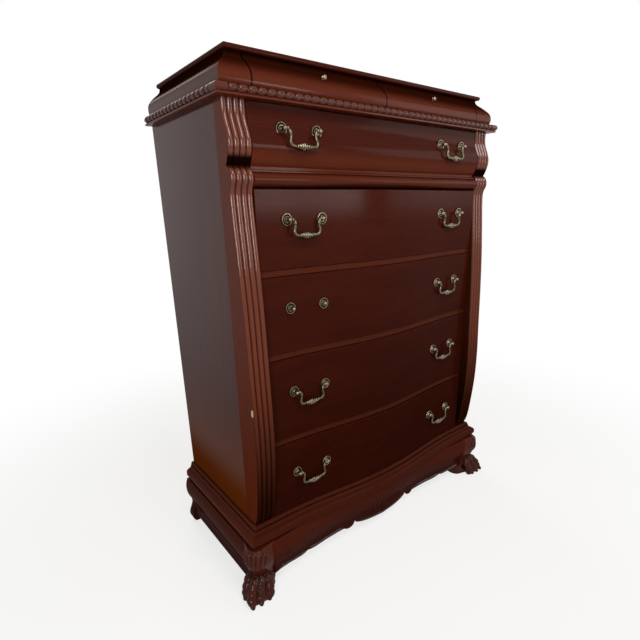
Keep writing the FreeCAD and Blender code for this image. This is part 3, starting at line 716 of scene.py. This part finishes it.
cornice_projection = 23.0 * mm
gadroon_pitch = 24.0 * mm
gadroon_radius = 8.6 * mm
roll_radius = 8.75 * mm
core_radius = 5.8 * mm
fillet_height = 5.5 * mm
fillet_past_axis = 5.0 * mm
corner_block = 7.0 * mm
row_end_gap = 4.0 * mm
gadroon_lean = 0.32
# A lobe's length as a share of the pitch, and how it draws in towards its ends
lobe_share = 0.965
lobe_end_power = 3.4
lobe_end_taper = 0.36


def wrapped(profile, half, front, back):
    """Moulding round the front and sides, mitred; profile points are (projection, height)."""
    points = []
    for side, y in ((-1, back), (-1, front), (1, front), (1, back)):
        for projection, z in profile:
            mitre = projection if y == front else 0.0
            points.append((side * (half + projection), y - mitre, z))
    return points, ring_faces(4, len(profile))


def half_round(centre, radius, start, end, steps):
    """Arc of (projection, height) points; angles in degrees from straight out."""
    made = []
    for i in range(steps + 1):
        angle = math.radians(start + (end - start) * i / steps)
        made.append((centre[0] + radius * math.cos(angle), centre[1] + radius * math.sin(angle)))
    return made


def gadroon_tree():
    """Leaning lobes set along the edges of a mesh."""
    tree = bpy.data.node_groups.new("gadroons", "GeometryNodeTree")
    sockets = (("Geometry", "Geometry"), ("Pitch", "Float"), ("Radius", "Float"), ("Lean", "Float"))
    for label, kind in sockets:
        tree.interface.new_socket(label, in_out="INPUT", socket_type="NodeSocket" + kind)
    tree.interface.new_socket("Geometry", in_out="OUTPUT", socket_type="NodeSocketGeometry")
    given = add(tree, "NodeGroupInput").outputs
    length = times(tree, given["Pitch"], lobe_share)
    ends = {}
    for label, share in (("Start", -0.5), ("End", 0.5)):
        ends[label] = fed(tree, "ShaderNodeCombineXYZ", {"X": times(tree, length, share)}).outputs[0]
    spine = fed(tree, "GeometryNodeCurvePrimitiveLine", ends)
    stations = fed(tree, "GeometryNodeResampleCurve", {"Curve": spine.outputs["Curve"], "Count": 11})
    along = add(tree, "GeometryNodeSplineParameter").outputs["Factor"]
    off_middle = times(tree, absolute(tree, minus(tree, along, 0.5)), 2.0)
    drawn_in = math_node(tree, "POWER", off_middle, lobe_end_power)
    swell = minus(tree, 1.0, times(tree, drawn_in, lobe_end_taper))
    # Share of the way from a lobe's middle to its end, kept for the painted shade where lobes meet
    gap = fed(tree, "GeometryNodeStoreNamedAttribute",
              {"Geometry": stations.outputs["Curve"], "Name": "gap", "Value": off_middle},
              data_type="FLOAT", domain="POINT")
    ring = fed(tree, "GeometryNodeCurvePrimitiveCircle", {"Radius": given["Radius"], "Resolution": 18})
    lobe = fed(tree, "GeometryNodeCurveToMesh",
               {"Curve": gap.outputs["Geometry"], "Profile Curve": ring.outputs["Curve"], "Scale": swell,
                "Fill Caps": True})
    place = add(tree, "GeometryNodeInputPosition").outputs[0]
    height = fed(tree, "ShaderNodeSeparateXYZ", {"Vector": place}).outputs["Z"]
    shift = fed(tree, "ShaderNodeCombineXYZ", {"X": times(tree, height, given["Lean"])})
    leaned = fed(tree, "GeometryNodeSetPosition",
                 {"Geometry": lobe.outputs["Mesh"], "Offset": shift.outputs[0]})
    path = fed(tree, "GeometryNodeMeshToCurve", {"Mesh": given["Geometry"]})
    spaced = fed(tree, "GeometryNodeResampleCurve",
                 {"Curve": path.outputs["Curve"], "Length": given["Pitch"]}, mode="LENGTH")
    tangent = add(tree, "GeometryNodeInputTangent").outputs[0]
    turn = fed(tree, "FunctionNodeAlignRotationToVector", {"Vector": tangent}, axis="X", pivot_axis="Z")
    row = fed(tree, "GeometryNodeInstanceOnPoints",
              {"Points": spaced.outputs["Curve"], "Instance": leaned.outputs["Geometry"],
               "Rotation": turn.outputs[0]})
    real = fed(tree, "GeometryNodeRealizeInstances", {"Geometry": row.outputs["Instances"]})
    fed(tree, "NodeGroupOutput", {"Geometry": real.outputs["Geometry"]})
    return tree


def made_by_nodes(name, points, edges, tree, settings):
    """Plain mesh that a node tree makes from points and edges."""
    holder = new_holder(name + "_path", points, edges, [])
    modifier = holder.modifiers.new("nodes", "NODES")
    modifier.node_group = tree
    for item in tree.interface.items_tree:
        if item.item_type == "SOCKET" and item.in_out == "INPUT" and item.name in settings:
            modifier[item.identifier] = settings[item.name]
    return mesh_made_by(holder)


def corner_roll(side, axis, half, front):
    """Plain length of the roll round one of the front corners, mitred."""
    block = half_round(axis, roll_radius, -180.0, 165.0, 22)
    points = []
    for station in range(3):
        for projection, height in block:
            x = half - corner_block if station == 0 else half + projection
            y = front + corner_block if station == 2 else front - projection
            points.append((side * x, y, height))
    return points, ring_faces(3, len(block))


def gadrooned_cornice():
    """Fillet and soffit, a half-round core with plain corner blocks, and the lobes along it."""
    low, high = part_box("cornice_front")
    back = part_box("cornice_left")[1].y
    half = high.x - cornice_projection
    front = low.y + cornice_projection
    axis = (cornice_projection - roll_radius, high.z - roll_radius)
    z = low.z
    edge = axis[0] + fillet_past_axis
    core = [(0.0, z), (edge - 2.6 * mm, z), (edge - 1.0 * mm, z + 0.6 * mm), (edge, z + 1.8 * mm),
            (edge, z + fillet_height - 1.2 * mm), (edge - 1.0 * mm, z + fillet_height)]
    core += half_round(axis, core_radius, -80.0, 90.0, 12)
    core.append((0.0, high.z))
    shapes = [wrapped(core, half, front, back)]
    shapes += [corner_roll(side, axis, half, front) for side in (-1, 1)]
    core_piece = new_piece("cornice_core", *joined(shapes), deep_cherry, "case", "lacquered_cherry")
    inset = corner_block + gadroon_pitch / 2.0
    x_end = half - inset
    y_front = front + inset
    x_side = half + axis[0]
    height = axis[1]
    y_back = back - gadroon_pitch / 2.0 - row_end_gap
    ends = [(-x_end, front - axis[0], height), (x_end, front - axis[0], height),
            (-x_side, y_back, height), (-x_side, y_front, height),
            (x_side, y_front, height), (x_side, y_back, height)]
    settings = {"Pitch": gadroon_pitch, "Radius": gadroon_radius, "Lean": gadroon_lean}
    mesh = made_by_nodes("gadroons", ends, [(0, 1), (2, 3), (4, 5)], gadroon_tree(), settings)
    lobes = finish_piece("cornice_gadroons", mesh, gadroon_cherry, "case", 60.0)
    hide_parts("cornice_front", "cornice_left", "cornice_right")
    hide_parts("cornice_front")


# Carved feet and apron

leg_axis = Vector((0.473, -0.1745, 0.0))
# Shares of a ridge's radius by which it is sunk into the wood
leaf_sink = 0.15
apron_leaf_sink = 0.45
carving_voxel = 1.7 * mm
cavity_reach = 14.0 * mm
# Heights between which the apron's lower edge is looked for, and the step, in mm
edge_search_low = 26.0
edge_search_high = 150.0
edge_search_step = 0.5


def leg_point(forward, lateral, height):
    """Point by its distance from the right leg's axis along and across the outward diagonal, in mm."""
    diagonal = math.sqrt(0.5)
    offset = Vector(((forward + lateral) * diagonal, (lateral - forward) * diagonal, height))
    return leg_axis + offset * mm


# The four toes from the outer side to the inner one, in mm: (reach along the diagonal, offset across it,
# sideways curl of the claw)
toes = [(57, 31, 1), (86, 8, -7), (70, -14, -5), (49, -35, -2)]


def leg_sweep(controls, sides):
    """Rounded run through (forward, lateral, height, radius) from the leg's axis, in mm."""
    run = smooth_run(controls, 4)
    path = [leg_point(forward, lateral, height) for forward, lateral, height, radius in run]
    return swept(path, [radius * mm for forward, lateral, height, radius in run], sides)


def toe_shapes(reach, offset, curl):
    """Toe with three knuckles, drawn up to the ankle, and a short blunt claw that curls sideways."""
    toe = [(0.52 * reach, 0.62 * offset, 67.0, 8.0), (0.66 * reach, 0.76 * offset, 60.0, 12.6),
           (0.76 * reach, 0.85 * offset, 52.0, 15.0), (0.85 * reach, 0.91 * offset, 44.0, 13.0),
           (0.93 * reach, 0.96 * offset, 35.5, 15.2), (0.98 * reach, 0.98 * offset, 27.0, 13.2),
           (reach + 2.0, offset, 18.5, 14.8), (reach + 6.0, offset, 11.5, 11.0)]
    claw = [(reach + 5.0, offset + 0.3 * curl, 14.0, 10.0), (reach + 11.5, offset + 0.7 * curl, 11.0, 8.6),
            (reach + 16.0, offset + curl, 7.8, 6.4), (reach + 18.0, offset + curl, 5.2, 3.8)]
    return [leg_sweep(toe, 16), leg_sweep(claw, 10)]


def toe_web(reach, offset):
    """Flesh between two toes, a little behind their claws."""
    return leg_sweep([(0.9 * reach, 0.95 * offset, 34.0, 10.0), (reach, offset, 20.0, 11.5),
                      (reach + 5.0, offset, 11.0, 10.0), (reach + 6.0, offset, 5.0, 5.0)], 12)


def paw_pad():
    """Mass of the paw that closes the gaps between the toes."""
    return leg_sweep([(22, -2, 66, 15), (38, -2, 50, 23), (50, -2, 32, 27), (56, -2, 17, 25),
                      (56, -2, 5, 17)], 20)


def on_leg(tree, turn, height, lift):
    """Point on the leg at an angle from its outward diagonal, lifted off the surface by this many mm."""
    angle = math.radians(turn)
    far = leg_point(200.0 * math.cos(angle), 200.0 * math.sin(angle), height)
    inward = leg_point(0.0, 0.0, height) - far
    hit = tree.ray_cast(far, inward.normalized())
    return hit[0] + hit[1] * (lift * mm)


def leaf_lobe(tree, controls):
    """Ridge laid on the leg through (turn, height, radius), sunk by a share of its radius."""
    run = smooth_run(controls, 5)
    path = [on_leg(tree, turn, height, -leaf_sink * radius) for turn, height, radius in run]
    return swept(path, [radius * mm for turn, height, radius in run], 10)


def knee_leaf(tree):
    """Acanthus that hangs from the plinth's corner: leaflets curl outwards and draw together to a tip."""
    shapes = [leaf_lobe(tree, [(0, 160, 2.8), (0, 146, 5.6), (0, 124, 5.0), (0, 104, 3.2), (0, 90, 0.8)])]
    for way in (-1, 1):
        for k, (top, spread) in enumerate(((157, 12.0), (150, 24.0), (141, 36.0))):
            low = 98.0 + 6.0 * k
            shapes.append(leaf_lobe(tree, [
                (way * (spread + 9.0), top - 9.0, 2.2), (way * (spread + 5.0), top, 4.2),
                (way * spread, top - 8.0, 5.0), (way * 0.84 * spread, top - 24.0, 4.0),
                (way * 0.6 * spread, low + 10.0, 2.6), (way * 0.4 * spread, low, 0.8)]))
    return shapes


def remeshed(name, points, faces, voxel):
    """Skin of overlapping closed shapes as one smooth mesh."""
    holder = new_holder(name, points, [], faces)
    skin = holder.modifiers.new("skin", "REMESH")
    skin.mode = "VOXEL"
    skin.voxel_size = voxel
    soften = holder.modifiers.new("soften", "SMOOTH")
    soften.factor = 0.5
    soften.iterations = 2
    return mesh_made_by(holder)


def store_cavity(mesh, reach):
    """Keep with each point of a carving the share of directions in which other carving is near."""
    shell = bmesh.new()
    shell.from_mesh(mesh)
    tree = BVHTree.FromBMesh(shell)
    golden = math.pi * (3.0 - math.sqrt(5.0))
    count = 18
    directions = []
    for i in range(count):
        height = 1.0 - 2.0 * (i + 0.5) / count
        ring = math.sqrt(1.0 - height * height)
        directions.append(Vector((ring * math.cos(golden * i), ring * math.sin(golden * i), height)))
    shares = []
    for vert in shell.verts:
        ahead = [way for way in directions if way.dot(vert.normal) > 0.1]
        start = vert.co + vert.normal * (0.5 * mm)
        met = sum(tree.ray_cast(start, way, reach)[0] is not None for way in ahead)
        shares.append(met / max(1, len(ahead)))
    shell.free()
    mesh.attributes.new("cavity", "FLOAT", "POINT").data.foreach_set("value", shares)


def carved_feet():
    """Paw feet: the leg with toes, claws and a leaf on the knee, skinned as one carving."""
    shell = cad_shell("foot_front_right")
    shell.verts.ensure_lookup_table()
    leg = ([v.co.copy() for v in shell.verts], [tuple(v.index for v in f.verts) for f in shell.faces])
    shell.free()
    shapes = [leg]
    for reach, offset, curl in toes:
        shapes += toe_shapes(reach, offset, curl)
    for toe, next_toe in zip(toes, toes[1:]):
        shapes.append(toe_web((toe[0] + next_toe[0]) / 2.0, (toe[1] + next_toe[1]) / 2.0))
    shapes.append(paw_pad())
    shapes += knee_leaf(cad_tree("foot_front_right"))
    right = remeshed("paw_foot_right", *joined(shapes), carving_voxel)
    # The share stands in for shade: the finish paints the hollows darker with it
    store_cavity(right, cavity_reach)
    left = right.copy()
    left.transform(Matrix.Scale(-1.0, 4, Vector((1.0, 0.0, 0.0))))
    left.flip_normals()
    for side, mesh in (("right", right), ("left", left)):
        piece = finish_piece("paw_foot_" + side, mesh, carved_cherry, "case", 80.0)
        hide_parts("foot_front_" + side)


# Skins that ease the knees into the aprons: a grid of points with this many along and up
flank_columns = 30
flank_rows = 27
flank_step = 3.0 * mm
flank_foot = 72.0 * mm
flank_rise = 3.5 * mm
flank_depth = 12.0 * mm
flank_ease = 14.0 * mm
flank_least_step = 0.3 * mm
flank_cover = 0.5 * mm
flank_hidden = 1.0 * mm
flank_fade_height = 24.0 * mm
flank_fade_columns = 8.0


def sheet_faces(rows, columns):
    """Faces of a closed sheet: a grid of outer points, then the same grid of inner ones."""
    size = rows * columns
    faces = []
    for row in range(rows - 1):
        for column in range(columns - 1):
            a = row * columns + column
            b = a + columns
            faces.append((a, a + 1, b + 1, b))
            faces.append((size + a, size + b, size + b + 1, size + a + 1))
    rim = list(range(columns))
    rim += [row * columns + columns - 1 for row in range(1, rows)]
    rim += [size - 1 - i for i in range(1, columns)]
    rim += [row * columns for row in range(rows - 2, 0, -1)]
    for a, b in zip(rim, rim[1:] + rim[:1]):
        faces.append((b, a, size + a, size + b))
    return faces


def eased_flank(read, place, start, way):
    """Closed skin from the knee along an apron that fills the step between them. Read gives how far out
    the wood stands at a place along it and a height. With nothing to fill, the skin lies inside it."""
    along = [start + way * flank_step * i for i in range(flank_columns)]
    outer = []
    inner = []
    for row in range(flank_rows):
        height = flank_foot + flank_rise * row
        depths = [read(s, height) for s in along]
        fade_up = min(1.0, flank_rise * row / flank_fade_height)
        for i, s in enumerate(along):
            weights = [math.exp(-((s - other) / flank_ease) ** 2) for other in along]
            eased = sum(w * d for w, d in zip(weights, depths)) / sum(weights)
            fade_out = min(1.0, (flank_columns - 1 - i) / flank_fade_columns)
            fill = max(0.0, eased - depths[i] - flank_least_step) * fade_out * fade_up
            reach = depths[i] + fill - flank_hidden * (1.0 - min(1.0, fill / flank_cover))
            outer.append(place(s, reach, height))
            inner.append(place(s, reach - flank_depth, height))
    return outer + inner, sheet_faces(flank_rows, flank_columns)


def knee_flanks():
    """Skins that carry both knees smoothly into the front and side aprons."""
    trees = [cad_tree(node) for node in ("foot_front_right", "apron_front", "apron_right")]

    def front_reach(x, z):
        hits = [from_front(tree, x, z) for tree in trees]
        return max(-hit.y for hit in hits if hit is not None)

    def side_reach(y, z):
        hits = [tree.ray_cast(Vector((1.0, y, z)), Vector((-1.0, 0.0, 0.0)))[0] for tree in trees]
        return max(hit.x for hit in hits if hit is not None)

    shapes = [eased_flank(front_reach, lambda s, reach, z: Vector((s, -reach, z)), leg_axis.x, -1.0),
              eased_flank(side_reach, lambda s, reach, z: Vector((reach, s, z)), leg_axis.y, 1.0)]
    shapes += [([Vector((-v.x, v.y, v.z)) for v in points], faces) for points, faces in shapes]
    new_piece("knee_flanks", *joined(shapes), apron_cherry, "case", "lacquered_cherry", 60.0)


def on_apron(tree, x, height, sink):
    """Point on the apron's face, sunk towards the back by this many mm, or None below its edge."""
    hit = from_front(tree, x * mm, height * mm)
    if hit is None:
        return None
    return hit + Vector((0.0, sink * mm, 0.0))


def apron_lobe(tree, controls):
    """Ridge laid on the apron through (X, height, radius)."""
    run = smooth_run(controls, 5)
    path = []
    radii = []
    for x, height, radius in run:
        point = on_apron(tree, x, height, apron_leaf_sink * radius)
        if point is not None:
            path.append(point)
            radii.append(radius * mm)
    return swept(path, radii, 10)


def scroll(tree, x, height, way, size):
    """Volute of about one and a third turns."""
    controls = []
    for i in range(10):
        angle = math.radians(54.0 * i)
        reach = size * (1.0 - 0.09 * i)
        radius = 0.34 * size - 0.1 * i
        controls.append((x + way * reach * math.cos(angle), height + reach * math.sin(angle), radius))
    return apron_lobe(tree, controls)


def lower_edge(tree, x):
    """Height of the apron's scalloped edge at this X, in mm, found by going up from below it."""
    height = edge_search_low
    while on_apron(tree, x, height, 0.0) is None and height < edge_search_high:
        height += edge_search_step
    return height


def rolled_lip(tree, x0, x1, radius):
    """Rounded lip along a stretch of the scalloped edge."""
    count = 26
    path = []
    for i in range(count + 1):
        x = x0 + (x1 - x0) * i / count
        path.append(on_apron(tree, x, lower_edge(tree, x) + 0.9 * radius, 0.35 * radius))
    taper = [min(1.0, 0.3 + 4.0 * min(i, count - i) / count) for i in range(count + 1)]
    return swept(path, [radius * mm * share for share in taper], 12)


def apron_carving():
    """Low leaf spray on the drop at the middle, scrolls, a leaf by each foot, and lips along the edge."""
    tree = cad_tree("apron_front")
    shapes = [apron_lobe(tree, [(0, 46, 3.0), (0, 62, 6.0), (0, 84, 6.4), (0, 106, 2.6)])]
    lips = [rolled_lip(tree, -112.0, 112.0, 4.0)]
    for way in (-1, 1):
        for i in range(5):
            x = 8.0 + 17.0 * i
            rise = 98.0 - 5.0 * i
            shapes.append(apron_lobe(tree, [
                (way * x, 52 + 1.5 * i, 2.5), (way * (x + 10), 62 + i, 5.0), (way * (x + 17), 76, 5.6),
                (way * (x + 20), rise, 4.4), (way * (x + 15), rise + 8, 2.0)]))
        shapes.append(scroll(tree, way * 142.0, 62.0, way, 8.0))
        lips.append(rolled_lip(tree, way * 174.0, way * 318.0, 6.5))
        lips.append(rolled_lip(tree, way * 330.0, way * 436.0, 5.0))
        shapes.append(scroll(tree, way * 404.0, 100.0, -way, 8.5))
        shapes.append(apron_lobe(tree, [
            (way * 440, 112, 3.0), (way * 428, 116, 5.0), (way * 416, 113, 4.6), (way * 404, 117, 3.0)]))
    new_piece("apron_carving", *joined(shapes), apron_cherry, "case", "lacquered_cherry", 60.0)
    new_piece("apron_lips", *joined(lips), lip_cherry, "case", "lacquered_cherry", 60.0)


# Camera, floor and light

def photo_camera():
    """Camera as it was fitted to the photo: its place, its three axes and its lens."""
    right = Vector((0.78767, -0.61572, -0.02159))
    up = Vector((0.20483, 0.22865, 0.95172))
    back = Vector((-0.58105, -0.75406, 0.30622))
    place = Vector((-0.9693, -1.1266, 1.0671))
    data = bpy.data.cameras.new("photo_camera")
    data.sensor_width = 36.0
    data.lens = 24.93
    data.shift_y = 0.0477
    camera = bpy.data.objects.new("photo_camera", data)
    turn = Matrix((right, up, back)).transposed().to_4x4()
    camera.matrix_world = Matrix.Translation(place) @ turn
    scene.collection.objects.link(camera)
    scene.camera = camera


def seen_directly(tree):
    """1 for rays that show the background itself: camera, mirror and see-through rays."""
    path = add(tree, "ShaderNodeLightPath")
    seen = math_node(tree, "MAXIMUM", path.outputs["Is Camera Ray"], path.outputs["Is Glossy Ray"])
    return math_node(tree, "MAXIMUM", seen, path.outputs["Is Transmission Ray"])


def studio_world():
    """Soft light from all round, and plain white where the background itself is seen."""
    world = bpy.data.worlds.new("studio")
    scene.world = world
    world.use_nodes = True
    tree = world.node_tree
    tree.nodes.clear()
    soft = fed(tree, "ShaderNodeBackground", {"Color": (1.0, 0.97, 0.94, 1.0), "Strength": 0.16})
    white = fed(tree, "ShaderNodeBackground", {"Color": (1.0, 1.0, 1.0, 1.0), "Strength": 1.0})
    mix = fed(tree, "ShaderNodeMixShader",
              {"Fac": seen_directly(tree), 1: soft.outputs[0], 2: white.outputs[0]})
    fed(tree, "ShaderNodeOutputWorld", {"Surface": mix.outputs[0]})


def pale_floor():
    """Floor that takes a soft shadow near the chest and goes over into the white background."""
    mesh = bpy.data.meshes.new("floor")
    reach = 6.0
    corners = [(-reach, -reach, 0), (reach, -reach, 0), (reach, reach, 0), (-reach, reach, 0)]
    mesh.from_pydata(corners, [], [(0, 1, 2, 3)])
    floor = bpy.data.objects.new("floor", mesh)
    scene.collection.objects.link(floor)
    material, tree, shader = new_material("pale_floor")
    feed(tree, shader, {"Base Color": (0.9, 0.9, 0.9, 1.0), "Roughness": 0.8, "Specular IOR Level": 0.1})
    glow = fed(tree, "ShaderNodeEmission", {"Strength": 1.0})
    far = fed(tree, "ShaderNodeVectorMath", {0: object_place(tree)}, operation="LENGTH")
    share = times(tree, seen_directly(tree), ranged(tree, far.outputs["Value"], 0.7, 2.2, 0.72, 1.0))
    mix = fed(tree, "ShaderNodeMixShader", {"Fac": share, 1: shader.outputs[0], 2: glow.outputs[0]})
    join(tree, mix.outputs[0], tree.nodes["Material Output"].inputs["Surface"])
    mesh.materials.append(material)


lamp_colour = (1.0, 0.97, 0.93)


def soft_lamp(name, place, target, size, power):
    data = bpy.data.lights.new(name, "AREA")
    data.shape = "RECTANGLE"
    data.size, data.size_y = size
    data.energy = power
    data.color = lamp_colour
    lamp = bpy.data.objects.new(name, data)
    lamp.location = place
    lamp.rotation_euler = (Vector(target) - Vector(place)).to_track_quat("-Z", "Y").to_euler()
    scene.collection.objects.link(lamp)


def studio_light():
    soft_lamp("window", (-2.6, -2.3, 1.6), (0.0, 0.0, 1.1), (0.55, 1.3), 52.0)
    soft_lamp("ceiling", (-0.3, -1.5, 2.5), (0.0, -0.1, 1.0), (0.8, 0.8), 28.0)
    soft_lamp("glow", (0.75, -1.93, 1.26), (-0.2, -0.2, 1.08), (0.42, 0.42), 5.5)
    soft_lamp("fill", (2.6, -1.8, 1.8), (0.0, 0.0, 0.7), (1.6, 1.6), 20.0)
    soft_lamp("back", (0.6, 3.2, 2.4), (0.0, 0.0, 0.8), (2.0, 1.6), 50.0)


dress_cad_nodes()
pulls()
frieze_knobs()
gadrooned_cornice()
carved_feet()
knee_flanks()
apron_carving()
photo_camera()
studio_world()
pale_floor()
studio_light()
scene.view_settings.view_transform = "Standard"
